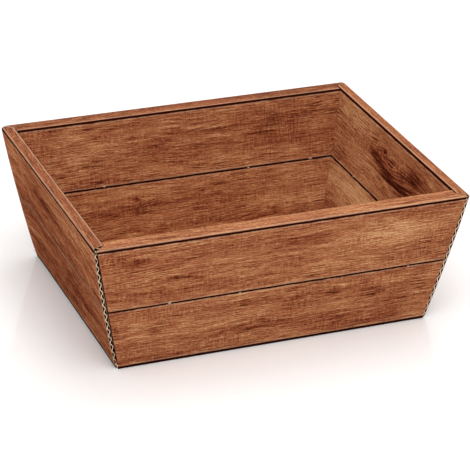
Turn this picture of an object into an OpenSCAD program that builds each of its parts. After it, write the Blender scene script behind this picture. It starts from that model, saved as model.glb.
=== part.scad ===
// Open gift tray with sloping walls, folded from one die-cut sheet of corrugated board.
// Every wall is double: an outer panel, a flat rim strip and an inner panel that locks into the base.
// The long walls run along X, the end walls along Y, and the flutes of the board along Y.

/* [Tray] */
// Length over the rim
top_l = 250; // [225:1:300]
// Width over the rim
top_w = 200; // [175:1:250]
// Length of the base
base_l = 212; // [180:1:240]
// Width of the base
base_w = 169; // [140:1:190]
// Height from the base to the rim
height = 92; // [60:1:120]

/* [Long walls] */
// Width of the rim strips of the long walls
rim_w = 12; // [9:0.5:16]
// Distance at the base from a long wall's outer face to its inner face
foot_w = 16; // [9:0.5:20]

/* [Board] */
// Thickness of the corrugated board
board_t = 2.5; // [2:0.1:3.5]
// Thickness of each flat liner of the board
liner_t = 0.4; // [0.2:0.05:0.6]
// Thickness of the wavy sheet between the liners
medium_t = 0.35; // [0.2:0.05:0.6]
// Spacing of the flutes
flute_pitch = 6.2; // [5:0.1:9]
// Depth of the open flutes at a cut edge
flute_depth = 8; // [3:0.5:15]

/* [Folds] */
// Outside radius of a fold
fold_r = 1.2; // [0.6:0.1:1.8]
// Space between layers of board that lie against each other
layer_gap = 0.15; // [0.05:0.05:0.4]
// Distance by which the end walls stop short of the faces of the long walls
end_setback = 1.2; // [0.4:0.1:2]

/* [Tabs and locks] */
// Amount by which each face of a tab is pressed in
tab_press = 0.05; // [0.02:0.01:0.1]
// Length of a corner tab along the end wall
tab_l = 48; // [20:1:60]
// Size of the cut at the lower corner of a tab
tab_cut = 12; // [2:1:20]
// Width of a lock tab
lock_w = 34; // [15:1:50]
// Distance between the two lock tabs of a long wall, centre to centre
lock_spacing = 104; // [70:1:130]
// Clearance of a lock tab in its slot
lock_gap = 0.4; // [0.2:0.1:0.8]
// Height of the lock tabs' ends above the ground
lock_lift = 0.3; // [0.1:0.1:1]

/* [Hidden] */
$fn = 48;
end_half = base_l / 2;
end_lean = (top_l - base_l) / 2 / height;
long_half = base_w / 2;
long_lean = (top_w - base_w) / 2 / height;
// Depths below an end wall's outer face: three layers of board make the wall
tab_depth = board_t + layer_gap;
inner_depth = 2 * (board_t + layer_gap);
wall_depth = inner_depth + board_t;
// Inner faces of the walls: parallel to the outer ones at the ends, over a hollow along the sides
end_in_half = end_half - run(end_lean) * wall_depth;
long_in_half = long_half - foot_w;
long_in_lean = (top_w / 2 - rim_w - long_in_half) / height;
// Heights of the underside of the rim strips and of the lower edge of the inner panels
strip_z = height - board_t;
inner_z = board_t + layer_gap;
// The arcs of the wavy sheet touch both liners and leave one thickness between neighbours
flute_h = board_t - 2 * liner_t - medium_t;
flute_r = ((flute_pitch * flute_pitch / 4 / flute_h + flute_h) / 2 - medium_t) / 2;
// Length that passes the whole tray, and the share by which waste passes the faces that it cuts
reach = top_l + top_w;
waste_pass = 1.5;

// How far out a wall's layer stands at a height, for a wall that starts at half and leans out
function run(lean) = sqrt(1 + lean * lean);
function out(half, lean, z, depth) = half + lean * z - run(lean) * depth;
function end_x(z, depth) = out(end_half, end_lean, z, depth);
function long_y(z, depth) = out(long_half, long_lean, z, depth);
function end_in(z, depth) = out(end_in_half, end_lean, z, depth);
function long_in(z, depth) = out(long_in_half, long_in_lean, z, depth);
function unit(v) = v / norm(v);

// A section drawn across the end walls, carried along Y
module along_y(length) {
    rotate([90, 0, 0]) linear_extrude(length, center = true) children();
}

// A section drawn across the long walls, carried along X
module along_x(length) {
    rotate([90, 0, 90]) linear_extrude(length, center = true) children();
}

module four_corners() {
    for (i = [0, 1], j = [0, 1]) mirror([i, 0, 0]) mirror([0, j, 0]) children();
}

// Waste that rounds a fold at p, between the edges that leave it towards a and b
module fold_waste(p, a, b) {
    u = unit(a - p);
    v = unit(b - p);
    half_angle = acos(u * v) / 2;
    edge = fold_r / tan(half_angle);
    middle = unit(u + v) * fold_r / sin(half_angle);
    translate(p + middle) difference() {
        scale(waste_pass) polygon([-middle, u * edge - middle, [0, 0], v * edge - middle]);
        circle(fold_r);
    }
}

// Area between the sloping lines at one depth of two opposite walls, from z0 up to z1
module between(half, lean, depth, z0, z1) {
    low = out(half, lean, z0, depth);
    high = out(half, lean, z1, depth);
    polygon([[low, z0], [high, z1], [-high, z1], [-low, z0]]);
}

// The same area from well below the tray to well above it
module between_all_through(half, lean, depth) {
    between(half, lean, depth, -height, height + height);
}

// Section of the sheet: down inside, over the rim, down the outside, under the base and up again
module sheet_section(half, lean, in_half, in_lean) {
    function outside(z, depth) = [out(half, lean, z, depth), z];
    function inside(z, depth) = [out(in_half, in_lean, z, depth), z];
    base_fold = outside(0, 0);
    outer_fold = outside(height, 0);
    inner_fold = inside(height, 0);
    inner_end = inside(inner_z, 0);
    side = [
        base_fold, outer_fold, inner_fold, inner_end, inside(inner_z, -board_t),
        inside(strip_z, -board_t), outside(strip_z, board_t), outside(board_t, board_t)
    ];
    difference() {
        polygon(concat(side, [for (i = [len(side) - 1 : -1 : 0]) [-side[i].x, side[i].y]]));
        for (i = [0, 1]) mirror([i, 0]) {
            fold_waste(base_fold, [0, 0], outer_fold);
            fold_waste(outer_fold, base_fold, inner_fold);
            fold_waste(inner_fold, outer_fold, inner_end);
        }
    }
}

// The part of a double wall that holds the inner panel, under the strip and clear of the outer panel
module inside_wall(half, lean) {
    between(half, lean, tab_depth, board_t + layer_gap / 2, strip_z);
}

// One open flute: an arc of the wavy sheet over a flat liner
module flute_mouth() {
    liner_y = liner_t - board_t / 2;
    difference() {
        translate([0, liner_y + flute_h - flute_r]) circle(flute_r);
        translate([-flute_r, liner_y - 2 * flute_r]) square(2 * flute_r);
    }
}

// Flutes along a panel from a to b, with the board on the left, opening in turn to each liner
module flute_row(a, b, margin) {
    step = flute_pitch / 2;
    length = norm(b - a);
    count = floor((length - 2 * margin) / step);
    translate(a) rotate(atan2(b.y - a.y, b.x - a.x))
        for (i = [0 : count - 1])
            translate([length / 2 + (i - (count - 1) / 2) * step, board_t / 2])
                rotate(180 * (i % 2)) flute_mouth();
}

// Open ends of the flutes in the outer panels and the rim strips of the end walls
module open_flutes() {
    base_fold = [end_x(0, 0), 0];
    outer_fold = [end_x(height, 0), height];
    inner_fold = [end_in(height, 0), height];
    difference() {
        along_y(reach) for (i = [0, 1]) mirror([i, 0]) flute_row(base_fold, outer_fold, board_t);
        along_x(reach) between_all_through(long_half, long_lean, end_setback + flute_depth);
    }
    difference() {
        along_y(reach) for (i = [0, 1]) mirror([i, 0]) flute_row(outer_fold, inner_fold, liner_t);
        along_x(reach) between_all_through(long_in_half, long_in_lean, flute_depth);
    }
}

// Waste that cuts a rim strip's end along the line from the rim's outside at p to its inside at q
module mitre_waste(p, q, away) {
    start = q + (p - q) * waste_pass;
    end = p + (q - p) * waste_pass;
    translate([0, 0, strip_z - layer_gap / 2]) linear_extrude(board_t + layer_gap)
        polygon([end, start, start + away * reach, end + away * reach]);
}

// Base, outer panels, rim strips and inner panels of the two end walls.
// Each strip's end starts at 45 degrees from the corner and goes on beside the long wall's strip.
module end_walls() {
    corner = [end_x(height, 0), long_y(height, end_setback)];
    strip_out = [end_x(height, board_t), long_y(height, layer_gap)];
    strip_in = [end_in(height, 0), long_in(height, layer_gap)];
    difference() {
        intersection() {
            along_y(reach) sheet_section(end_half, end_lean, end_in_half, end_lean);
            along_x(reach) between_all_through(long_half, long_lean, end_setback);
        }
        difference() {
            along_y(reach) inside_wall(end_half, end_lean);
            along_x(2 * reach) between_all_through(long_in_half, long_in_lean, layer_gap);
        }
        four_corners() {
            mitre_waste(corner, corner - [wall_depth, wall_depth], [0, 1]);
            mitre_waste(strip_out, strip_in, [0, 1]);
        }
        open_flutes();
    }
}

// Tab on the end of a long wall, which lies inside the end wall
module corner_tab() {
    low = board_t + layer_gap;
    high = strip_z - layer_gap;
    outside = tab_depth + tab_press;
    inside = tab_depth + board_t - tab_press;
    function at(z, depth) = [long_y(z, depth), z];
    intersection() {
        along_y(reach) polygon([
            [end_x(low, outside), low], [end_x(high, outside), high],
            [end_x(high, inside), high], [end_x(low, inside), low]
        ]);
        along_x(reach) polygon([
            at(low, board_t / 2), at(high, board_t / 2), at(high, tab_l),
            at(low + tab_cut, tab_l), at(low, tab_l - tab_cut)
        ]);
    }
}

// Waste that rounds the sloping fold between a long wall and its tab
module corner_fold_waste() {
    edge = [end_lean, long_lean, 1];
    end_normal = [1, 0, -end_lean] / run(end_lean);
    long_normal = [0, 1, -long_lean] / run(long_lean);
    across = end_normal * long_normal;
    along_end = across * end_normal - long_normal;
    along_long = across * long_normal - end_normal;
    turn = atan2(edge.y, edge.x);
    tilt = acos(edge.z / norm(edge));
    x_dir = [cos(tilt) * cos(turn), cos(tilt) * sin(turn), -sin(tilt)];
    y_dir = [-sin(turn), cos(turn), 0];
    function flat(v) = [v * x_dir, v * y_dir];
    start = [end_x(-board_t, tab_depth), long_y(-board_t, 0), -board_t];
    translate(start) rotate([0, tilt, turn]) linear_extrude((height + 2 * board_t) * norm(edge))
        fold_waste([0, 0], flat(along_end), flat(along_long));
}

// Base, outer panels with corner tabs, rim strips and inner panels of the two long walls
module long_walls() {
    strip_out = [end_x(height, tab_depth), long_y(height, 0)];
    strip_in = [end_in(height, layer_gap), long_in(height, 0)];
    difference() {
        union() {
            difference() {
                intersection() {
                    along_x(reach) sheet_section(long_half, long_lean, long_in_half, long_in_lean);
                    along_y(reach) between_all_through(end_half, end_lean, tab_depth);
                }
                difference() {
                    along_x(reach) inside_wall(long_half, long_lean);
                    along_y(2 * reach) between_all_through(end_half, end_lean, inner_depth);
                }
                four_corners() mitre_waste(strip_out, strip_in, [1, 0]);
            }
            four_corners() corner_tab();
        }
        four_corners() corner_fold_waste();
    }
}

// Section of a lock tab or its slot, which goes on down from an inner panel
module lock_section(in_half, in_lean, low, high, gap) {
    function at(z, depth) = [out(in_half, in_lean, z, depth), z];
    back = -board_t - gap;
    polygon([at(low, back), at(high, back), at(high, gap), at(low, gap)]);
}

// Two locks in each long wall and one in each end wall
module locks(low, high, gap) {
    width = lock_w + 2 * gap;
    for (i = [0, 1]) {
        mirror([0, i, 0]) for (x = [-lock_spacing / 2, lock_spacing / 2])
            translate([x, 0, 0]) along_x(width) lock_section(long_in_half, long_in_lean, low, high, gap);
        mirror([i, 0, 0]) along_y(width) lock_section(end_in_half, end_lean, low, high, gap);
    }
}

module folded_tray() {
    color("#96593a") {
        difference() {
            union() {
                end_walls();
                long_walls();
            }
            locks(-board_t, board_t + layer_gap / 2, lock_gap);
        }
        locks(lock_lift, inner_z + board_t, -tab_press);
    }
}

folded_tray();
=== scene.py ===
"""Looks of a gift tray folded from printed corrugated board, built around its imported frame."""

from collections import namedtuple
from functools import partial
from math import cos, hypot, pi, radians, sin, tan

import bmesh
import bpy
from mathutils import Matrix, Vector


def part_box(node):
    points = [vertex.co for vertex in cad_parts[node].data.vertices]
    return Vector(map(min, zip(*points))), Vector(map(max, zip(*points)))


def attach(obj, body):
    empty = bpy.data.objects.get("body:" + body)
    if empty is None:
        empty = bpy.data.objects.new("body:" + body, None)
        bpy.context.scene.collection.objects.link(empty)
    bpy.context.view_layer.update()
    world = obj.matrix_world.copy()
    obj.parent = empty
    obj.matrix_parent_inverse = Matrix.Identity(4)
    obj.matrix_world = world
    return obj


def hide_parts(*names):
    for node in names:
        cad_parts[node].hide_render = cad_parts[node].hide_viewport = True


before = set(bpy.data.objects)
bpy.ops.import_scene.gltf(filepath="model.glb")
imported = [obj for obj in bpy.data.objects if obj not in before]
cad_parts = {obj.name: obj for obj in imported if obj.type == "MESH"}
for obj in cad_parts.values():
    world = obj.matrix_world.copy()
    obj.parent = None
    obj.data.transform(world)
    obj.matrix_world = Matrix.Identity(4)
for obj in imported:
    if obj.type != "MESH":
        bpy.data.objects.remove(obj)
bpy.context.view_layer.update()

MM = 0.001
TRAY = "folded_tray"

# The board: two flat liners and a wavy medium between them, drawn a little thick so that its edge shows
BOARD = 2.5 * MM
LINER = 0.4 * MM
MEDIUM = 0.55 * MM
FLUTE_PITCH = 6.2 * MM
FLUTE_HALF_HEIGHT = (BOARD - 2 * LINER - MEDIUM) / 2
WAVE_STEPS = 12

# Folds: crushed score lines, round outside and tight inside
FOLD_RADIUS = 1.2 * MM
TIGHT_FOLD = 0.3 * MM
FOLD_STEPS = 6
LAYER_GAP = 0.15 * MM
SAME_PLACE = 0.001 * MM
SHARP_ANGLE = radians(35)

# Layers of an end wall, as depths below its outer face, and the widths of the hollow long walls
TAB_DEPTH = BOARD + LAYER_GAP
INNER_DEPTH = 2 * TAB_DEPTH
WALL_DEPTH = INNER_DEPTH + BOARD
LONG_RIM = 12 * MM
LONG_FOOT = 16 * MM

# Cut edges that bow out a little, corner folds that bulge in front of them, tabs and locks
RAW_SETBACK = 2.0 * MM
RAW_BOW = 1.5 * MM
BOW_FULLNESS = 0.5
SHORT_STRIP_SETBACK = 4.5 * MM
SHORT_STRIP_SLANT = 0.35
STRIP_ROUNDING = 0.12
MITRE_GAP = 0.3 * MM
BULGE_DEPTH = 1.4 * MM
LONG_SLIDE = 0.5 * MM
TUCK = 0.7 * MM
BASE_MARGIN = 4 * MM
TAB_LENGTH = 48 * MM
TAB_CUT = 12 * MM
LOCK_WIDTH = 34 * MM
LOCK_SPACING = 104 * MM
LOCK_GAP = 0.4 * MM
LOCK_LIFT = 0.3 * MM

# Rows of the sheet as shares of each panel's length, from the base inwards, and its even columns
TAB_FROM = 0.035
TAB_ROUND_ROWS = 3
OUTER_STOPS = (0.03, TAB_FROM, 0.16, 0.35, 0.55, 0.75, 0.96)
STRIP_STOPS = (0.25, 0.4, 0.56, 0.7)
INNER_STOPS = (0.04, 0.3, 0.6)
FOLD_ROWS = FOLD_STEPS + 1
FIRST_OUTER_ROW = 1 + FOLD_ROWS
COLUMN_STEP = 12 * MM
COLUMN_CLEARANCE = COLUMN_STEP / 3

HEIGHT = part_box(TRAY)[1][2]
INNER_END = TAB_DEPTH
PRINT_MAP = "print"
PRINT, KRAFT, CUT, FLUTE, LINER_CUT = range(5)

Face = namedtuple("Face", "half lean")
Wall = namedtuple("Wall", "outer inner")
Row = namedtuple("Row", "point share")
SHEET_LAYERS = ("along", "down", "reverse")


# Planes of the walls, measured on the frame

def outside_at(z):
    """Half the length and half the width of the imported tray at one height."""
    solid = bmesh.new()
    solid.from_mesh(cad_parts[TRAY].data)
    everything = solid.verts[:] + solid.edges[:] + solid.faces[:]
    cut = bmesh.ops.bisect_plane(solid, geom=everything, plane_co=(0, 0, z), plane_no=(0, 0, 1))
    corners = [v.co.copy() for v in cut["geom_cut"] if isinstance(v, bmesh.types.BMVert)]
    solid.free()
    return max(c.x for c in corners), max(c.y for c in corners)


def out(face, z, depth):
    """How far out from the middle a layer stands at a height, at a depth below a wall's face."""
    return face.half + face.lean * z - hypot(1, face.lean) * depth


def face_through(low, high):
    """The face that stands this far out at a third and at two thirds of the height."""
    lean = (high - low) / (HEIGHT / 3)
    return Face(low - lean * HEIGHT / 3, lean)


def face_inside(face, rim, foot):
    """The face that lies inside another, by one width at the rim and another at the foot."""
    return Face(face.half - foot, face.lean + (foot - rim) / HEIGHT)


(low_x, low_y), (high_x, high_y) = outside_at(HEIGHT / 3), outside_at(HEIGHT * 2 / 3)
end_face, long_face = face_through(low_x, high_x), face_through(low_y, high_y)
END_RIM = hypot(1, end_face.lean) * WALL_DEPTH
END = Wall(end_face, face_inside(end_face, END_RIM, END_RIM))
LONG = Wall(long_face, face_inside(long_face, LONG_RIM, LONG_FOOT))


# Folding the sheet

def bends(wall, depth):
    """Section of one layer as sharp bends: base, base fold, both rim folds, end of the inner panel."""
    top = HEIGHT - depth
    return [Vector(bend) for bend in (
        (wall.outer.half - BASE_MARGIN, depth),
        (out(wall.outer, depth, depth), depth),
        (out(wall.outer, top, depth), top),
        (out(wall.inner, top, -depth), top),
        (out(wall.inner, INNER_END, -depth), INNER_END),
    )]


def round_fold(before, bend, after, radius):
    """Arc that rounds one bend of the section."""
    back = (before - bend).normalized()
    ahead = (after - bend).normalized()
    half_angle = back.angle(ahead) / 2
    edge = radius / tan(half_angle)
    centre = bend + (back + ahead).normalized() * radius / sin(half_angle)
    first = (bend + back * edge - centre).normalized()
    last = (bend + ahead * edge - centre).normalized()
    return [centre + radius * first.slerp(last, step / FOLD_STEPS) for step in range(FOLD_STEPS + 1)]


def over_rim(wall, point):
    """Share of the way across the rim, from the outer face to the inner one, at a place in the section."""
    outside = out(wall.outer, point.y, 0)
    share = (outside - point.x) / (outside - out(wall.inner, point.y, 0))
    return min(max(share, 0), 1)


def folded_rows(wall, depth):
    """Rows of one layer of the sheet, in section with its folds rounded, with their shares over the rim."""
    radius = max(FOLD_RADIUS - depth, TIGHT_FOLD)
    corner = bends(wall, depth)
    rows = [Row(corner[0], 0)]
    for fold, stops in ((1, OUTER_STOPS), (2, STRIP_STOPS), (3, INNER_STOPS + (1,))):
        arc = round_fold(*corner[fold - 1:fold + 2], radius)
        panel = [corner[fold].lerp(corner[fold + 1], stop) for stop in stops]
        rows += [Row(point, over_rim(wall, point) if fold > 1 else 0) for point in arc]
        rows += [Row(point, (0, over_rim(wall, point), 1)[fold - 1]) for point in panel]
    return rows


def printed_ways(wall):
    """Each row's way down the printed face, from the outer rim fold: positive outside, negative inside."""
    path = [row.point for row in folded_rows(wall, 0)]
    outer_fold = bends(wall, 0)[2]
    rim = min(range(len(path)), key=lambda i: (path[i] - outer_fold).length)
    ways = [0.0]
    for near, far in zip(path, path[1:]):
        ways.append(ways[-1] + (far - near).length)
    return [ways[rim] - way for way in ways]


def even_columns(half, lock_edges):
    """Places of columns at even steps along a wall, with the edges of its locks among them."""
    count = int(half / COLUMN_STEP)
    steps = [COLUMN_STEP * i for i in range(-count, count + 1)]
    clear = [step for step in steps if all(abs(step - edge) > COLUMN_CLEARANCE for edge in lock_edges)]
    return sorted(clear + list(lock_edges))


class Sheet:
    """A mesh under construction, with each vertex's place on the printed sheet kept in layers of its own."""

    def __init__(self):
        self.bm = bmesh.new()
        for layer in SHEET_LAYERS:
            self.bm.verts.layers.float.new(layer)
        self.along, self.down, self.reverse = self.bm.verts.layers.float.values()
        self.order = self.bm.verts.layers.int.new("order")

    def face_grid(self, places, downs):
        """A flat grid bent to the given rows of places. Returns its vertices, row by row."""
        across = len(places[0])
        made = bmesh.ops.create_grid(
            self.bm, x_segments=across - 1, y_segments=len(places) - 1, size=1
        )["verts"]
        grid = [made[i:i + across] for i in range(0, len(made), across)]
        for line, row, down in zip(grid, places, downs):
            for vert, place in zip(line, row):
                vert.co = place
                vert[self.along] = place[0]
                vert[self.down] = down
        for i, vert in enumerate(made):
            vert[self.order] = i
        return grid

    def paper(self, verts, papers):
        """Gives the faces round some vertices the paper of the printed side, the reverse or the cut edge."""
        printed, reverse, cut = papers
        for face in {f for v in verts for f in v.link_faces}:
            on_reverse = sum(v[self.reverse] for v in face.verts) / len(face.verts)
            face.material_index = {0: printed, 1: reverse}.get(on_reverse, cut)

    def layer(self, printed, reverse, downs, papers):
        """A closed layer of paper or board between two bent faces. Returns the vertices of both."""
        front = self.face_grid(printed, downs)
        faces = {f for line in front for v in line for f in v.link_faces}
        made = bmesh.ops.extrude_face_region(self.bm, geom=list(faces), use_keep_orig=True)["geom"]
        verts = sorted((g for g in made if isinstance(g, bmesh.types.BMVert)), key=lambda v: v[self.order])
        across = len(printed[0])
        back = [verts[i:i + across] for i in range(0, len(verts), across)]
        for line, row in zip(back, reverse):
            for vert, place in zip(line, row):
                vert.co = place
                vert[self.reverse] = 1
        self.paper(verts + [v for line in front for v in line], papers)
        return front, back

    def pull(self, faces, papers, move):
        """Extrudes faces of a cut edge by one step, moves each new vertex and returns the new end faces."""
        made = bmesh.ops.extrude_face_region(self.bm, geom=faces)["geom"]
        bmesh.ops.delete(self.bm, geom=faces, context="FACES")
        verts = [g for g in made if isinstance(g, bmesh.types.BMVert)]
        for vert in verts:
            move(vert)
        self.paper(verts, papers)
        return [g for g in made if isinstance(g, bmesh.types.BMFace)]

    def finish(self, name, turn, materials):
        """Closes the mesh, turns it to its place and makes it a piece of the tray."""
        bm = self.bm
        bmesh.ops.recalc_face_normals(bm, faces=bm.faces)
        bmesh.ops.rotate(bm, verts=bm.verts, cent=(0, 0, 0), matrix=Matrix.Rotation(turn, 3, "Z"))
        print_map = bm.loops.layers.uv.new(PRINT_MAP)
        for face in bm.faces:
            face.smooth = True
            for loop in face.loops:
                loop[print_map].uv = (loop.vert[self.along], loop.vert[self.down])
        for edge in bm.edges:
            edge.smooth = edge.calc_face_angle(0) < SHARP_ANGLE
        for layer in SHEET_LAYERS:
            bm.verts.layers.float.remove(bm.verts.layers.float[layer])
        bm.verts.layers.int.remove(bm.verts.layers.int["order"])
        mesh = bpy.data.meshes.new(name)
        bm.to_mesh(mesh)
        bm.free()
        piece = bpy.data.objects.new(name, mesh)
        bpy.context.scene.collection.objects.link(piece)
        for material in materials:
            mesh.materials.append(material)
        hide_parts(TRAY)
        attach(piece, "root")


def lower_locks(sheet, front, back, papers, wall, centres):
    """Pulls the lock tabs down from the lower edge of an inner panel, into the slots of the base."""
    drop = INNER_END - LOCK_LIFT

    def move(vert):
        vert.co += Vector((0, -wall.inner.lean * drop, -drop))
        vert[sheet.down] -= drop

    for centre in centres:
        faces = []
        for i, (left, right) in enumerate(zip(front[-1], front[-1][1:])):
            if abs((left.co.x + right.co.x) / 2 - centre) < LOCK_WIDTH / 2:
                faces.append(sheet.bm.faces.get((left, right, back[-1][i + 1], back[-1][i])))
        sheet.pull(faces, papers, move)


def corner_depth(side):
    """Depth of a long wall's corner fold below the end wall's face: the long walls slid a little sideways."""
    return BULGE_DEPTH - side * LONG_SLIDE


def fold_tab(sheet, front, back, papers, rows, side):
    """Folds the tab at one end of a long wall's outer panel round the corner, into the end wall."""
    end = 0 if side < 0 else -1
    faces = [
        sheet.bm.faces.get((front[j][end], front[j + 1][end], back[j + 1][end], back[j][end]))
        for j in rows[:-1]
    ]

    def stand(vert, end_depth, long_depth, top=HEIGHT):
        z = min(vert.co.z, top)
        before = vert.co.copy()
        vert.co = (side * out(END.outer, z, end_depth), out(LONG.outer, z, long_depth), z)
        vert[sheet.along] += side * (vert.co - before).length

    for step in range(1, FOLD_STEPS + 1):
        turn = pi / 2 * step / FOLD_STEPS

        def round_corner(vert):
            deep = BOARD if vert[sheet.reverse] else 0
            radius = TIGHT_FOLD if vert[sheet.reverse] else FOLD_RADIUS
            end_depth = corner_depth(side) + deep + radius * (1 - sin(turn))
            stand(vert, end_depth, deep + radius * (1 - cos(turn)))

        faces = sheet.pull(faces, papers, round_corner)

    def tuck_in(vert):
        deep = BOARD if vert[sheet.reverse] else 0
        stand(vert, TAB_DEPTH + deep, deep + FOLD_RADIUS + TUCK, HEIGHT - TAB_DEPTH)

    faces = sheet.pull(faces, papers, tuck_in)

    def lay_tab(vert):
        cut = max(0, TAB_CUT - (vert.co.z - INNER_END))
        stand(vert, TAB_DEPTH + (BOARD if vert[sheet.reverse] else 0), TAB_LENGTH - cut)

    sheet.pull(faces, papers, lay_tab)


def bow(share, z):
    """How far an end wall's raw edges bow out at a height. Only its outer panel bows."""
    return RAW_BOW * max(0, sin(pi * z / HEIGHT)) ** BOW_FULLNESS if share == 0 else 0


def bowed_row(columns, limits, share, point):
    """One row across an end wall, with its two ends bowed out."""
    left, right = (Vector((x, point.x + bow(share, point.y), point.y)) for x in limits)
    return [left] + [Vector((x, *point)) for x in columns] + [right]


def wave_faces(start, end, columns, limits_at, share_at):
    """Both faces of the wavy medium in one panel, from one bend to the next, as rows of places."""
    span = (end - start).length
    ahead = (end - start) / span
    inwards = Vector((-ahead.y, ahead.x))
    count = round((span - 2 * FOLD_RADIUS) / FLUTE_PITCH * WAVE_STEPS)
    faces = ([], [])
    for i in range(count + 1):
        way = span / 2 + (i - count / 2) * FLUTE_PITCH / WAVE_STEPS
        phase = 2 * pi * (way - span / 2) / FLUTE_PITCH
        centre = start + ahead * way + inwards * FLUTE_HALF_HEIGHT * sin(phase)
        slope = FLUTE_HALF_HEIGHT * 2 * pi / FLUTE_PITCH * cos(phase)
        across = (inwards - ahead * slope).normalized() * MEDIUM / 2
        share = share_at(centre)
        limits = limits_at(share, centre.y)
        for face, point in zip(faces, (centre - across, centre + across)):
            face.append(bowed_row(columns, limits, share, point))
    return faces


# Pieces of the tray

def long_wall(name, turn, materials):
    """A long wall: outer panel with its corner tabs, mitred rim strip and inner panel with two locks."""
    sheet = Sheet()
    papers = (PRINT, KRAFT, CUT)
    lock_edges = [side * LOCK_SPACING / 2 + half * LOCK_WIDTH / 2 for side in (-1, 1) for half in (-1, 1)]
    columns = even_columns(END.inner.half - BASE_MARGIN, lock_edges)
    tab_rows = range(
        FIRST_OUTER_ROW + OUTER_STOPS.index(TAB_FROM), FIRST_OUTER_ROW + len(OUTER_STOPS) + TAB_ROUND_ROWS
    )

    def reach(j, row, fold_end, side):
        z = row.point.y
        if j == 0:
            return END.outer.half - BASE_MARGIN
        if j in tab_rows:
            return out(END.outer, z, corner_depth(side) + fold_end)
        if row.share == 1:
            return out(END.outer, z, INNER_DEPTH)
        mitre = out(END.outer, z, corner_depth(side)) - LONG_RIM * row.share
        return max(mitre, out(END.inner, z, LAYER_GAP))

    def places(depth, fold_end):
        bent = []
        for j, row in enumerate(folded_rows(LONG, depth)):
            left, right = (side * reach(j, row, fold_end, side) for side in (-1, 1))
            bent.append([Vector((x, *row.point)) for x in [left] + columns + [right]])
        return bent

    front, back = sheet.layer(
        places(0, FOLD_RADIUS), places(BOARD, BOARD + TIGHT_FOLD), printed_ways(LONG), papers
    )
    lower_locks(sheet, front, back, papers, LONG, (-LOCK_SPACING / 2, LOCK_SPACING / 2))
    for side in (-1, 1):
        fold_tab(sheet, front, back, papers, tab_rows, side)
    bmesh.ops.remove_doubles(sheet.bm, verts=sheet.bm.verts, dist=SAME_PLACE)
    sheet.finish(name, turn, materials)


def end_strip_reach(share, short):
    """How far an end wall's rim strip goes: to the long strip's mitre, or short of it with a slanting cut."""
    across = END_RIM * share
    setback = max(RAW_SETBACK, across - BULGE_DEPTH + LONG_SLIDE + MITRE_GAP)
    if short:
        rounded = min(1, share / STRIP_ROUNDING)
        setback = RAW_SETBACK + (SHORT_STRIP_SETBACK - RAW_SETBACK) * rounded + SHORT_STRIP_SLANT * across
    return out(LONG.outer, HEIGHT, setback)


def end_wall(name, turn, materials, short_end=0):
    """An end wall in its three papers, two liners and the wavy medium, cut open at both ends."""
    sheet = Sheet()
    columns = even_columns(LONG.inner.half - BASE_MARGIN, (-LOCK_WIDTH / 2, LOCK_WIDTH / 2))
    ways = printed_ways(END)

    def reach(share, z, side):
        if share == 0:
            return out(LONG.outer, z, RAW_SETBACK)
        if share == 1:
            return out(LONG.inner, z, LAYER_GAP)
        return end_strip_reach(share, side == short_end)

    def ends(share, z):
        return [side * reach(share, z, side) for side in (-1, 1)]

    def places(depth):
        bent = []
        for j, row in enumerate(folded_rows(END, depth)):
            base_end = LONG.outer.half - BASE_MARGIN
            limits = ends(row.share, row.point.y) if j else (-base_end, base_end)
            bent.append(bowed_row(columns, limits, row.share, row.point))
        return bent

    for depth, papers in ((0, (PRINT, FLUTE, LINER_CUT)), (BOARD - LINER, (FLUTE, KRAFT, LINER_CUT))):
        front, back = sheet.layer(places(depth), places(depth + LINER), ways, papers)
        lower_locks(sheet, front, back, papers, END, (0,))
    middle = bends(END, BOARD / 2)
    shares = (lambda point: 0, partial(over_rim, END), lambda point: 1)
    for start, end, share_at in zip(middle[1:], middle[2:], shares):
        printed, reverse = wave_faces(start, end, (columns[0], columns[-1]), ends, share_at)
        sheet.layer(printed, reverse, [0] * len(printed), (FLUTE, FLUTE, CUT))
    sheet.finish(name, turn, materials)


def base_panel(name, materials):
    """The base: a flat board with a slot for each lock, printed below and bare inside."""
    sheet = Sheet()
    half = LOCK_WIDTH / 2 + LOCK_GAP

    def lines(wall, lock_centres):
        near = out(wall.inner, 0, LOCK_GAP)
        far = out(wall.inner, BOARD, -BOARD - LOCK_GAP)
        ends = [centre + end for centre in lock_centres for end in (-half, half)]
        edge = wall.outer.half - BASE_MARGIN
        return sorted([-edge, -far, -near] + ends + [near, far, edge]), near, far

    xs, near_x, far_x = lines(END, (-LOCK_SPACING / 2, LOCK_SPACING / 2))
    ys, near_y, far_y = lines(LONG, (0,))
    sheet.face_grid([[Vector((x, y, 0)) for x in xs] for y in ys], ys)

    def in_slot(face):
        x, y = (abs(c) for c in face.calc_center_median()[:2])
        in_end_slot = near_x < x < far_x and y < half
        return in_end_slot or (near_y < y < far_y and abs(x - LOCK_SPACING / 2) < half)

    slots = [face for face in sheet.bm.faces if in_slot(face)]
    bmesh.ops.delete(sheet.bm, geom=slots, context="FACES")
    bmesh.ops.solidify(sheet.bm, geom=sheet.bm.faces[:], thickness=-BOARD)
    for vert in sheet.bm.verts:
        vert[sheet.along] = vert.co.x
        vert[sheet.down] = vert.co.y
    bmesh.ops.recalc_face_normals(sheet.bm, faces=sheet.bm.faces)
    for face in sheet.bm.faces:
        face.material_index = {-1: PRINT, 0: CUT, 1: KRAFT}[round(face.normal.z)]
    sheet.finish(name, 0, materials)


# Materials

def colour(hex_code):
    """An sRGB hex colour as linear red, green, blue and alpha."""
    parts = [int(hex_code[i:i + 2], 16) / 255 for i in (1, 3, 5)]
    return [p / 12.92 if p <= 0.04045 else ((p + 0.055) / 1.055) ** 2.4 for p in parts] + [1]


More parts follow.
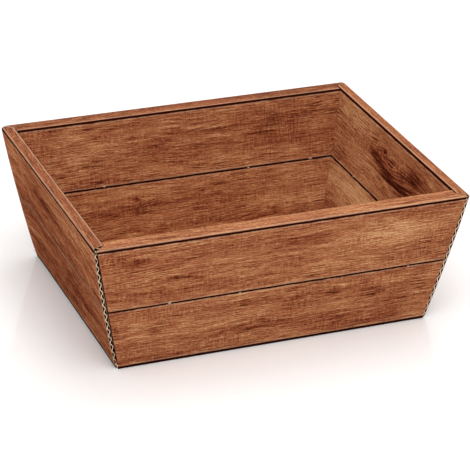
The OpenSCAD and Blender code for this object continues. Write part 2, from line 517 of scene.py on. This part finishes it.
def add_node(tree, kind, inputs=None, stops=None, **settings):
    """Adds a shader node with its settings. An input takes a value, a socket or a node's first output."""
    made = tree.nodes.new("ShaderNode" + kind)
    for setting, value in settings.items():
        setattr(made, setting, value)
    for key, value in (inputs or {}).items():
        socket = next(s for i, s in enumerate(made.inputs) if s.enabled and key in (i, s.name))
        if isinstance(value, bpy.types.Node):
            value = next(s for s in value.outputs if s.enabled)
        if isinstance(value, bpy.types.NodeSocket):
            tree.links.new(value, socket)
        else:
            socket.default_value = value
    for i, (place, shade) in enumerate(stops or ()):
        ramp = made.color_ramp.elements
        stop = ramp[i] if i < len(ramp) else ramp.new(place)
        stop.position = place
        stop.color = colour(shade)
    return made


def new_material(name):
    """A material, the function that adds its nodes, and its shader."""
    material = bpy.data.materials.new(name)
    material.use_nodes = True
    tree = material.node_tree
    return material, partial(add_node, tree), tree.nodes["Principled BSDF"]


def coat(material, shader, sources):
    """Links the outputs of nodes to the shader's sockets."""
    for socket, source in sources.items():
        output = next(s for s in source.outputs if s.enabled)
        material.node_tree.links.new(output, shader.inputs[socket])


# Print, in millimetres on the sheet. A way down from a rim fold is positive outside and negative inside.
Print = namedtuple(
    "Print", "rim top_gap strip_tone flutes_upright gap_depth knots shades chips strip_shades", defaults=[()]
)
Knot = namedtuple("Knot", "along way half_length half_width")
Shade = namedtuple("Shade", "along way half_length half_width slope tone")
Chip = namedtuple("Chip", "along way half_length half_width")
Gap = namedtuple("Gap", "way half")
Layer = namedtuple("Layer", "length width detail roughness")
Marks = namedtuple("Marks", "layer edges patch patch_edges depth")

# Width of the printed strips between their folds, and how far each print runs past its inner fold
LONG_PRINT_RIM = (LONG_RIM - FOLD_RADIUS / 2) / MM
END_PRINT_RIM = (END_RIM - FOLD_RADIUS / 2) / MM
FRONT_RUN = 0.8
BACK_RUN = -0.8
LEFT_RUN = -0.7
RIGHT_RUN = -1.15

# Layers of wood grain. The finest are drawn as coarse as they need to show.
GRAIN = {
    "cloud": Layer(120, 11, 2, 0.5),
    "band": Layer(55, 2.8, 3, 0.6),
    "streak": Layer(17, 0.55, 3, 0.8),
    "speck": Layer(2.4, 0.6, 2, 0.7),
    "saw": Layer(1.0, 9, 1, 0.5),
    "saw_patch": Layer(45, 16, 1, 0.5),
    "fleck": Layer(15, 0.6, 2, 0.6),
    "fleck_patch": Layer(60, 12, 1, 0.5),
    "ragged": Layer(9, 400, 5, 0.65),
}
WANDER = Layer(70, 28, 2, 0.5)
WANDER_WIDTH = 6
KNOT_REACH = 2
KNOT_PARTING = 0.75
PLANKS_PER_SIDE = 3
PLANK_SPACING = 37

# Tones from 0, the darkest wood, to 1, the palest, and the colours of wood, worn print, bare paper, and gaps
# and painted shade
PLANK_TONE = 0.595
TONE_SHARES = {"cloud": 0.5, "band": 0.5, "streak": 2.1, "speck": 1.0}
SAW_MARKS = Marks("saw", (0.3, 0.7), "saw_patch", (0.42, 0.65), 0.24)
FLECKS = Marks("fleck", (0.54, 0.64), "fleck_patch", (0.35, 0.6), 0.46)
BETWEEN_PATCHES = 0.15
SHADE_EDGES = (1.3, 0.2)
SHADE_RAGGEDNESS = 2.4
WOOD_ENDS = ((0.0, "#3c160c"), (1.0, "#dcae80"))
WOOD_BETWEEN = ((0.22, "#71341e"), (0.42, "#935237"), (0.6, "#aa6b46"), (0.8, "#c48c60"))
STRAW = "#c8b48c"
LIP_COLOUR = "#dcb698"
CHIP_COLOUR = "#dfbcaa"
GAP_AND_SHADE_COLOUR = "#2c0a02"

# Gaps between planks with their broken pale lips, worn folds with a painted highlight, worn strips, painted
# shade at the corner folds and the foot, and chips
NARROW_TOP_GAP = Gap(1.22, 0.88)
TOP_GAP = Gap(1.3, 0.95)
MIDDLE_GAP = Gap(47.4, 0.76)
# Dark band at the foot: partly a printed line, partly painted shade where the base fold meets the floor
FOOT_LINE_AND_SHADE = Gap(93, 2.4)
GAP_SOFTNESS = 0.2
GAP_RAGGEDNESS = 0.9
LIP_WIDTH = 1.4
LIP_STRENGTH = 0.5
LIP_BREAKS = (0.4, 0.6)
LIP_AT_BREAKS = 0.3
# Pale on the rim folds: partly worn print, partly a painted highlight where the round fold catches the light
FOLD_WEAR_AND_HIGHLIGHT = 0.3
FOLD_WEAR_AND_HIGHLIGHT_WAY = -0.3
FOLD_WEAR_AND_HIGHLIGHT_EDGES = (0.7, 0.2)
STRIP_WEAR = 0.05
# Painted shade on the corner folds, where the panel turns away into the crevice beside the cut edge
CORNER_SHADE_EDGES = (-0.1, 0.2)
CHIP_EDGES = (1.1, 0.6)
CHIP_BARENESS = 0.7

# Surface of the print
RIB_HEIGHT = 0.5
RELIEF_STRENGTH = 0.1
RELIEF_HEIGHT = 0.1 * MM
DARK_ROUGHNESS = 0.68
PALE_ROUGHNESS = 0.56
PRINT_GLOSS = 0.0004

FRONT_PRINT = Print(
    rim=LONG_PRINT_RIM + FRONT_RUN,
    top_gap=NARROW_TOP_GAP,
    strip_tone=0.59,
    flutes_upright=True,
    gap_depth=1,
    knots=(),
    shades=(
        Shade(60, 15.3, 17, 0.6, 0.125, -0.28),
        Shade(65, 29.3, 15, 1.3, -0.125, -0.3),
        Shade(102, 11.4, 14, 5, 0, -0.1),
        Shade(14, 77.6, 22, 2.4, 0.11, -0.2),
        Shade(-14, 16, 26, 9, 0, -0.15),
        Shade(-71, 19, 44, 13, 0, 0.27),
        Shade(-30, 54, 36, 3, 0, 0.12),
        Shade(-80, 70, 36, 6, 0, -0.1),
        Shade(-86.7, 72.8, 4, 0.8, 0, -0.35),
        Shade(-70, 3.6, 13, 0.5, -0.05, -0.45),
    ),
    chips=(Chip(74.2, 47.2, 1.2, 0.7), Chip(27.6, 47.8, 0.8, 0.4), Chip(-87.6, 48, 0.9, 0.5)),
    strip_shades=(
        Shade(79, 4.5, 11, 2.2, -0.12, -0.36),
        Shade(-70, 3, 40, 4, 0, 0.08),
        Shade(-82, 3, 22, 1.2, 0, -0.3),
        Shade(-107, 4, 10, 3, 0, -0.16),
    ),
)
BACK_PRINT = Print(
    rim=LONG_PRINT_RIM + BACK_RUN,
    top_gap=TOP_GAP,
    strip_tone=0.36,
    flutes_upright=True,
    gap_depth=1,
    knots=(Knot(-38, -58.7, 9, 3.5),),
    shades=(
        Shade(-22, -21, 19, 5, 0, -0.12),
        Shade(-84, -16.6, 22, 0.5, 0.075, -0.2),
        Shade(-90, -37, 4, 1, 0, -0.32),
        Shade(-27, -68.5, 17, 0.7, 0, -0.32),
        Shade(-38, -58.7, 3.5, 1.6, 0, -0.35),
        Shade(60, -18, 55, 5, 0, -0.1),
        Shade(53, -23.3, 17, 0.9, 0, -0.28),
        Shade(95, -65, 12, 0.5, 0.05, -0.15),
        Shade(62, -79, 4, 1.5, 0, -0.25),
        Shade(35, -84, 30, 5, 0, -0.1),
        # Paler inside lower plank: partly print, partly painted light that lifts the shade inside the tray
        Shade(85, -66, 48, 20, 0, 0.13),
        Shade(-80, -25, 44, 20, 0, 0.12),
    ),
    chips=(Chip(-59.3, -46.6, 1.1, 0.6), Chip(45.5, -47.4, 0.9, 0.5), Chip(92, -47, 1.4, 0.6)),
    strip_shades=(Shade(0, 9, 160, 3.5, 0, 0.16),),
)
LEFT_PRINT = Print(
    rim=END_PRINT_RIM + LEFT_RUN,
    top_gap=NARROW_TOP_GAP,
    strip_tone=0.43,
    flutes_upright=False,
    gap_depth=0.6,
    knots=(Knot(-52, -30, 22, 7),),
    shades=(
        Shade(20, 25, 40, 5, 0, -0.12),
        Shade(-40, 70, 40, 5, 0, -0.1),
        Shade(0, 58, 130, 50, 0, -0.17),
    ),
    chips=(Chip(40, 47.8, 0.9, 0.5),),
)
RIGHT_PRINT = Print(
    rim=END_PRINT_RIM + RIGHT_RUN,
    top_gap=TOP_GAP,
    strip_tone=0.5,
    flutes_upright=False,
    gap_depth=1,
    knots=(Knot(2, -18, 30, 9),),
    shades=(
        Shade(-5.5, -14, 2.6, 1.8, 0, -0.5),
        Shade(6, -17.2, 14, 0.9, 0, -0.32),
        Shade(-13.6, -22.5, 11, 5.5, 0, -0.32),
        Shade(3, -27.5, 15, 5, 0, -0.34),
        Shade(40, -17.5, 20, 7.5, 0, -0.34),
        Shade(27, -28.5, 12, 4.5, 0, -0.32),
        Shade(14, -22, 36, 12, 0, -0.24),
        Shade(-82, -7, 11, 0.5, -0.1, -0.28),
        Shade(-58, -63, 18, 0.5, 0.05, -0.15),
        # Paler inside lower plank: partly print, partly painted light that lifts the shade inside the tray
        Shade(-40, -60, 70, 17, 0, 0.34),
        Shade(-50, -22, 60, 24, 0, 0.16),
    ),
    chips=(Chip(-40, -47, 0.9, 0.5),),
)
BASE_PRINT = Print(
    rim=0,
    top_gap=Gap(0, 0.8),
    strip_tone=PLANK_TONE,
    flutes_upright=True,
    gap_depth=1,
    knots=(Knot(40, 20, 24, 7),),
    shades=(Shade(-50, -25, 40, 5, 0, -0.12),),
    chips=(),
)


def on_sheet(mark, rim):
    """The middle of a mark on the sheet, past the rim strip where it lies inside."""
    return (mark.along, mark.way - (rim if mark.way < 0 else 0), 0)


def reach_of(add, mark, offset):
    """Distance from the middle of a mark, counted so that its outline is at 1."""
    scaled = add("VectorMath", {0: offset, 1: (1 / mark.half_length, 1 / mark.half_width, 0)},
                 operation="MULTIPLY")
    return add("VectorMath", {0: scaled}, operation="LENGTH").outputs["Value"]


def grain_layer(add, place, layer):
    """A layer of noise with the length and width of its grain."""
    stretched = add("VectorMath", {0: place, 1: (1 / layer.length, 1 / layer.width, 1)}, operation="MULTIPLY")
    return add("TexNoise", {
        "Vector": stretched, "Scale": 1, "Detail": layer.detail, "Roughness": layer.roughness,
    })


def across_grain(add, sheet, down, paper):
    """Place across the grain, which flows along the planks, wanders a little and parts round the knots."""
    wander = grain_layer(add, sheet, WANDER)
    across = add("Math", {0: wander, 1: WANDER_WIDTH, 2: down}, operation="MULTIPLY_ADD")
    for knot in paper.knots:
        offset = add("VectorMath", {0: sheet, 1: on_sheet(knot, paper.rim)}, operation="SUBTRACT")
        near = add("MapRange", {0: reach_of(add, knot, offset), 1: 0, 2: KNOT_REACH, 3: 1, 4: 0},
                   interpolation_type="SMOOTHERSTEP")
        aside = add("SeparateXYZ", {0: offset}).outputs["Y"]
        parting = add("Math", {0: near, 1: aside}, operation="MULTIPLY")
        across = add("Math", {0: parting, 1: -KNOT_PARTING, 2: across}, operation="MULTIPLY_ADD")
    return across


def wood_tone(add, sheet, below_top, layers, paper):
    """Tone of the wood: its grain, saw marks across it, dark flecks, heartwood and sapwood, and painted light
    on some inside planks.
    """
    tone = add("Math", {
        0: below_top, 1: PLANK_TONE - paper.strip_tone, 2: paper.strip_tone - sum(TONE_SHARES.values()) / 2,
    }, operation="MULTIPLY_ADD")
    for layer, share in TONE_SHARES.items():
        tone = add("Math", {0: layers[layer], 1: share, 2: tone}, operation="MULTIPLY_ADD")
    for marks in (SAW_MARKS, FLECKS):
        low, high = marks.edges
        dark = add("MapRange", {0: layers[marks.layer], 1: low, 2: high, 3: 0, 4: -marks.depth})
        low, high = marks.patch_edges
        spread = add("MapRange", {0: layers[marks.patch], 1: low, 2: high, 3: BETWEEN_PATCHES, 4: 1})
        tone = add("Math", {0: dark, 1: spread, 2: tone}, operation="MULTIPLY_ADD")

    # Darker heartwood and paler sapwood, with ragged outlines. Some paler patches on the inside lower planks
    # are partly painted light that lifts the shade inside the tray.
    ragged = add("Math", {0: layers["band"], 1: SHADE_RAGGEDNESS, 2: -SHADE_RAGGEDNESS / 2},
                 operation="MULTIPLY_ADD")
    placed = [(shade, on_sheet(shade, paper.rim)) for shade in paper.shades]
    placed += [(shade, (shade.along, -shade.way, 0)) for shade in paper.strip_shades]
    far, near = SHADE_EDGES
    for shade, centre in placed:
        parts = add("SeparateXYZ", {0: add("VectorMath", {0: sheet, 1: centre}, operation="SUBTRACT")})
        along, down = parts.outputs["X"], parts.outputs["Y"]
        level = add("Math", {0: along, 1: -shade.slope, 2: down}, operation="MULTIPLY_ADD")
        reach = reach_of(add, shade, add("CombineXYZ", {0: along, 1: level}))
        depth = add("MapRange", {0: add("Math", {0: reach, 1: ragged}), 1: far, 2: near, 3: 0, 4: shade.tone},
                    interpolation_type="SMOOTHSTEP")
        tone = add("Math", {0: tone, 1: depth})
    return tone


def gaps_and_lips(add, way, ragged, paper):
    """Strength of the ragged dark gaps between planks with the painted shade at the foot, and of their pale
    lips and the worn folds with their painted highlight.
    """
    edge = add("Math", {0: ragged, 1: GAP_RAGGEDNESS, 2: add("Math", {0: way, 1: -GAP_RAGGEDNESS / 2})},
               operation="MULTIPLY_ADD")
    broken = add("MapRange", {0: ragged, 1: LIP_BREAKS[0], 2: LIP_BREAKS[1], 3: LIP_AT_BREAKS, 4: 1})
    # Worn folds: paler from wear and from a painted highlight on the round fold
    fold = add("Math", {0: add("Math", {0: way, 1: -FOLD_WEAR_AND_HIGHLIGHT_WAY})}, operation="ABSOLUTE")
    far, near = FOLD_WEAR_AND_HIGHLIGHT_EDGES
    lips = add("MapRange", {0: fold, 1: far, 2: near, 3: 0, 4: FOLD_WEAR_AND_HIGHLIGHT})
    gaps_and_shade = 0
    # The foot band is partly painted shade under the base fold
    for gap, depth in ((paper.top_gap, 1), (MIDDLE_GAP, paper.gap_depth), (FOOT_LINE_AND_SHADE, 1)):
        off = add("Math", {0: add("Math", {0: edge, 1: gap.way}, operation="SUBTRACT")}, operation="ABSOLUTE")
        far, near = gap.half + GAP_SOFTNESS, gap.half - GAP_SOFTNESS
        dark = add("MapRange", {0: off, 1: far, 2: near, 3: 0, 4: depth})
        lip = add("MapRange", {0: off, 1: gap.half + LIP_WIDTH, 2: gap.half, 3: 0, 4: LIP_STRENGTH * depth})
        pale = add("Math", {0: lip, 1: broken}, operation="MULTIPLY")
        gaps_and_shade = add("Math", {0: dark, 1: gaps_and_shade}, operation="MAXIMUM")
        lips = add("Math", {0: pale, 1: lips}, operation="MAXIMUM")
    return gaps_and_shade, lips


def corner_fold_painted_shade(add, along, down, way, gaps_and_shade):
    """Adds to the gaps painted shade where a long wall's outer panel turns round the corner into its tabs."""
    slant = END.outer.lean / hypot(1, LONG.outer.lean)
    half = out(END.outer, HEIGHT, BULGE_DEPTH) / MM
    from_centre = add("Math", {0: along}, operation="ABSOLUTE")
    beyond = add("Math", {0: way, 1: slant, 2: from_centre}, operation="MULTIPLY_ADD")
    start, full = CORNER_SHADE_EDGES
    corner_shade = add("MapRange", {0: beyond, 1: half + start, 2: half + full, 3: 0, 4: 1})
    outside = add("Math", {0: down, 1: 0}, operation="GREATER_THAN")
    return add("Math", {0: corner_shade, 1: outside, 2: gaps_and_shade}, operation="MULTIPLY_ADD", use_clamp=True)


def printed_planks(name, seed, paper):
    """Wood planks offset-printed on coated paper under a thin satin varnish.

    To the eye: warm red-brown grain in long streaks, dark gaps between planks, pale lips, worn folds with a
    painted highlight, chips, painted shade at the corner folds and the foot, some paler inside planks that
    are partly painted light, the faint ribs of the flutes, and hardly any gloss under soft light.
    """
    material, add, shader = new_material(name)
    sheet = add("VectorMath", {0: add("UVMap", uv_map=PRINT_MAP), "Scale": 1 / MM}, operation="SCALE")
    place = add("SeparateXYZ", {0: sheet})
    along, down = place.outputs["X"], place.outputs["Y"]

    # Way down from the nearer rim fold, the same outside and inside, and a number for each plank
    from_middle = add("Math", {0: add("Math", {0: down, 1: paper.rim / 2})}, operation="ABSOLUTE")
    way = add("Math", {0: from_middle, 1: paper.rim / 2}, operation="SUBTRACT")
    below_top = add("Math", {0: way, 1: paper.top_gap.way}, operation="GREATER_THAN")
    below_middle = add("Math", {0: way, 1: MIDDLE_GAP.way}, operation="GREATER_THAN")
    inside = add("Math", {0: down, 1: -paper.rim / 2}, operation="LESS_THAN")
    plank = add("Math", {0: inside, 1: PLANKS_PER_SIDE, 2: add("Math", {0: below_top, 1: below_middle})},
                operation="MULTIPLY_ADD")

    # Grain, each plank's from another depth of the noise
    depth = add("Math", {0: plank, 1: PLANK_SPACING, 2: seed}, operation="MULTIPLY_ADD")
    fibre = add("CombineXYZ", {0: along, 1: across_grain(add, sheet, down, paper), 2: depth})
    layers = {kind: grain_layer(add, fibre, layer) for kind, layer in GRAIN.items()}
    tone = wood_tone(add, sheet, below_top, layers, paper)
    planks = add("ValToRGB", {0: tone}, stops=WOOD_ENDS + WOOD_BETWEEN)

    # Worn strips, pale lips, worn folds with a painted highlight, dark gaps, painted shade at the corner
    # folds, and chips where the print broke at the gaps
    wear = add("MapRange", {0: below_top, 1: 0, 2: 1, 3: STRIP_WEAR, 4: 0})
    gaps_and_shade, lips = gaps_and_lips(add, way, layers["ragged"], paper)
    # Painted shade on the corner folds of the long walls, mixed in with the gap colour
    if paper.flutes_upright and paper.rim:
        gaps_and_shade = corner_fold_painted_shade(add, along, down, way, gaps_and_shade)
    for strength, shade in ((wear, STRAW), (lips, LIP_COLOUR), (gaps_and_shade, GAP_AND_SHADE_COLOUR)):
        planks = add("Mix", {"Factor": strength, "A": planks, "B": colour(shade)}, data_type="RGBA")
    far, near = CHIP_EDGES
    for chip in paper.chips:
        offset = add("VectorMath", {0: sheet, 1: on_sheet(chip, paper.rim)}, operation="SUBTRACT")
        bare = add("MapRange", {0: reach_of(add, chip, offset), 1: far, 2: near, 3: 0, 4: CHIP_BARENESS})
        planks = add("Mix", {"Factor": bare, "A": planks, "B": colour(CHIP_COLOUR)}, data_type="RGBA")

    # Surface: the grain's slight relief, the ribs of the flutes, and wood a little rougher where it is dark
    turns = add("Math", {0: along if paper.flutes_upright else down, 1: 2 * pi * MM / FLUTE_PITCH},
                operation="MULTIPLY")
    ribs = add("Math", {0: turns}, operation="SINE")
    relief = add("Math", {0: ribs, 1: RIB_HEIGHT, 2: tone}, operation="MULTIPLY_ADD")
    bump = add("Bump", {"Strength": RELIEF_STRENGTH, "Distance": RELIEF_HEIGHT, "Height": relief})
    roughness = add("MapRange", {0: tone, 1: 0, 2: 1, 3: DARK_ROUGHNESS, 4: PALE_ROUGHNESS})
    shader.inputs["Specular IOR Level"].default_value = PRINT_GLOSS
    coat(material, shader, {"Base Color": planks, "Normal": bump, "Roughness": roughness})
    return material


# Bare papers: pulp and fibres are drawn coarser than they are, so that they show
PULP = {"Detail": 4, "Roughness": 0.6}
FIBRES = {"Detail": 3, "Roughness": 0.7}
FIBRE_STRETCH = (1, 3.5, 1)
FIBRE_HEIGHT = 0.06 * MM
PAPER_TONES = (0.3, 0.7, 0.5)
PAPER_GLOSS = 0.15


def bare_paper(name, pulp_size, fibre_size, shades, roughness, relief):
    """Bare paper: soft mottling of the pulp with fine fibres over it, quite matt. Sizes in millimetres."""
    material, add, shader = new_material(name)
    place = add("TexCoord").outputs["Object"]
    drawn = add("VectorMath", {0: place, 1: FIBRE_STRETCH}, operation="MULTIPLY")
    pulp = add("TexNoise", {"Vector": place, "Scale": 1 / (pulp_size * MM), **PULP})
    fibres = add("TexNoise", {"Vector": drawn, "Scale": 1 / (fibre_size * MM), **FIBRES})
    tone = add("Math", {0: add("Math", {0: pulp, 1: fibres}), 1: 2}, operation="DIVIDE")
    paper = add("ValToRGB", {0: tone}, stops=tuple(zip(PAPER_TONES, shades)))
    bump = add("Bump", {"Strength": relief, "Distance": FIBRE_HEIGHT, "Height": fibres})
    shader.inputs["Roughness"].default_value = roughness
    shader.inputs["Specular IOR Level"].default_value = PAPER_GLOSS
    coat(material, shader, {"Base Color": paper, "Normal": bump})
    return material


# Reverse of the sheet: brown and even. Cut edges: pale straw and fuzzy. Cut liners: brown, fuzzy lines.
# Wavy medium and the liners' faces inside the flutes: brown paper painted near black as shade in the flute
# hollows. Shades are the darkest, the palest and the middle one.
kraft = bare_paper(
    "kraft_paper_uncoated", pulp_size=14, fibre_size=1.6, shades=("#97714c", "#c4a177", "#b08a60"),
    roughness=0.85, relief=0.25,
)
cut_paper = bare_paper(
    "cut_paper_raw", pulp_size=3, fibre_size=0.8, shades=("#d6b496", "#fdead6", "#ecd2b6"),
    roughness=0.9, relief=0.4,
)
liner_cut = bare_paper(
    "liner_paper_cut", pulp_size=3, fibre_size=0.8, shades=("#86614a", "#c6a183", "#a68267"),
    roughness=0.9, relief=0.4,
)
# Near-black paper on the medium and on the liners' faces inside the flutes: painted shade in the flute
# hollows
fluting_dark_as_shade = bare_paper(
    "fluting_paper_painted_hollow_shade", pulp_size=8, fibre_size=1.2, shades=("#260f05", "#42200d", "#341708"),
    roughness=0.95, relief=0.3,
)

for build, name, turn, paper in (
    (long_wall, "front_wall", pi, FRONT_PRINT),
    (long_wall, "back_wall", 0, BACK_PRINT),
    (partial(end_wall, short_end=-1), "left_end_wall", pi / 2, LEFT_PRINT),
    (end_wall, "right_end_wall", -pi / 2, RIGHT_PRINT),
):
    seed = len(bpy.data.materials)
    planks = printed_planks("plank_print_satin_varnish_" + name, seed, paper)
    build(name, turn, [planks, kraft, cut_paper, fluting_dark_as_shade, liner_cut])
base_planks = printed_planks("plank_print_satin_varnish_base", len(bpy.data.materials), BASE_PRINT)
base_panel("base_panel", [base_planks, kraft, cut_paper])


# Camera, floor and light

CAMERA_AT = Vector((-0.5214, -1.3029, 0.7211))
CAMERA_AIM = Vector((0.00072, -0.01089, 0.04247))
CAMERA_ROLL = radians(1.459)
CAMERA_LENS = 181.31
SENSOR = 36
FLOOR_HALF = 8
FLOOR_LACQUER = {
    "Base Color": colour("#f7f6f5"), "Roughness": 0.02, "Specular IOR Level": 0.85,
    "Emission Color": colour("#ffffff"), "Emission Strength": 0.06,
}
SURROUND_STRENGTH = 0.6
SOFTBOX_SIZE = 1.5


def place_camera():
    """The photograph's view: far off, from the left and above, with a long lens."""
    lens = bpy.data.cameras.new("camera")
    lens.lens = CAMERA_LENS
    lens.sensor_width = SENSOR
    camera = bpy.data.objects.new("camera", lens)
    bpy.context.scene.collection.objects.link(camera)
    look = (CAMERA_AIM - CAMERA_AT).to_track_quat("-Z", "Y").to_matrix().to_4x4()
    camera.matrix_world = Matrix.Translation(CAMERA_AT) @ look @ Matrix.Rotation(CAMERA_ROLL, 4, "Z")
    bpy.context.scene.camera = camera


def lay_floor():
    """A table top lacquered white: a smooth gloss that mirrors the tray faintly, and a slight glow."""
    material, _, shader = new_material("white_lacquered_table")
    for socket, value in FLOOR_LACQUER.items():
        shader.inputs[socket].default_value = value
    mesh = bpy.data.meshes.new("floor")
    flat = bmesh.new()
    bmesh.ops.create_grid(flat, x_segments=1, y_segments=1, size=FLOOR_HALF)
    flat.to_mesh(mesh)
    flat.free()
    floor = bpy.data.objects.new("floor", mesh)
    bpy.context.scene.collection.objects.link(floor)
    mesh.materials.append(material)


def add_softbox(name, place, aim, power):
    """A large soft light at a place, turned to a point."""
    light = bpy.data.lights.new(name, "AREA")
    light.shape = "SQUARE"
    light.size = SOFTBOX_SIZE
    light.energy = power
    softbox = bpy.data.objects.new(name, light)
    bpy.context.scene.collection.objects.link(softbox)
    turn = (Vector(aim) - Vector(place)).to_track_quat("-Z", "Y").to_matrix().to_4x4()
    softbox.matrix_world = Matrix.Translation(place) @ turn


def light_studio():
    """White surroundings, a wide softbox high in front, which reaches into the tray, and one behind."""
    world = bpy.data.worlds.new("white_studio")
    bpy.context.scene.world = world
    world.use_nodes = True
    surround = world.node_tree.nodes["Background"]
    surround.inputs["Color"].default_value = colour("#ffffff")
    surround.inputs["Strength"].default_value = SURROUND_STRENGTH
    add_softbox("softbox_high_front", place=(-0.3, -0.8, 1.7), aim=(0, 0, 0.05), power=22)
    add_softbox("softbox_high_back", place=(0.4, 0.6, 1.8), aim=(0.2, 0.4, 0), power=14)
    bpy.context.scene.view_settings.view_transform = "Standard"


place_camera()
lay_floor()
light_studio()
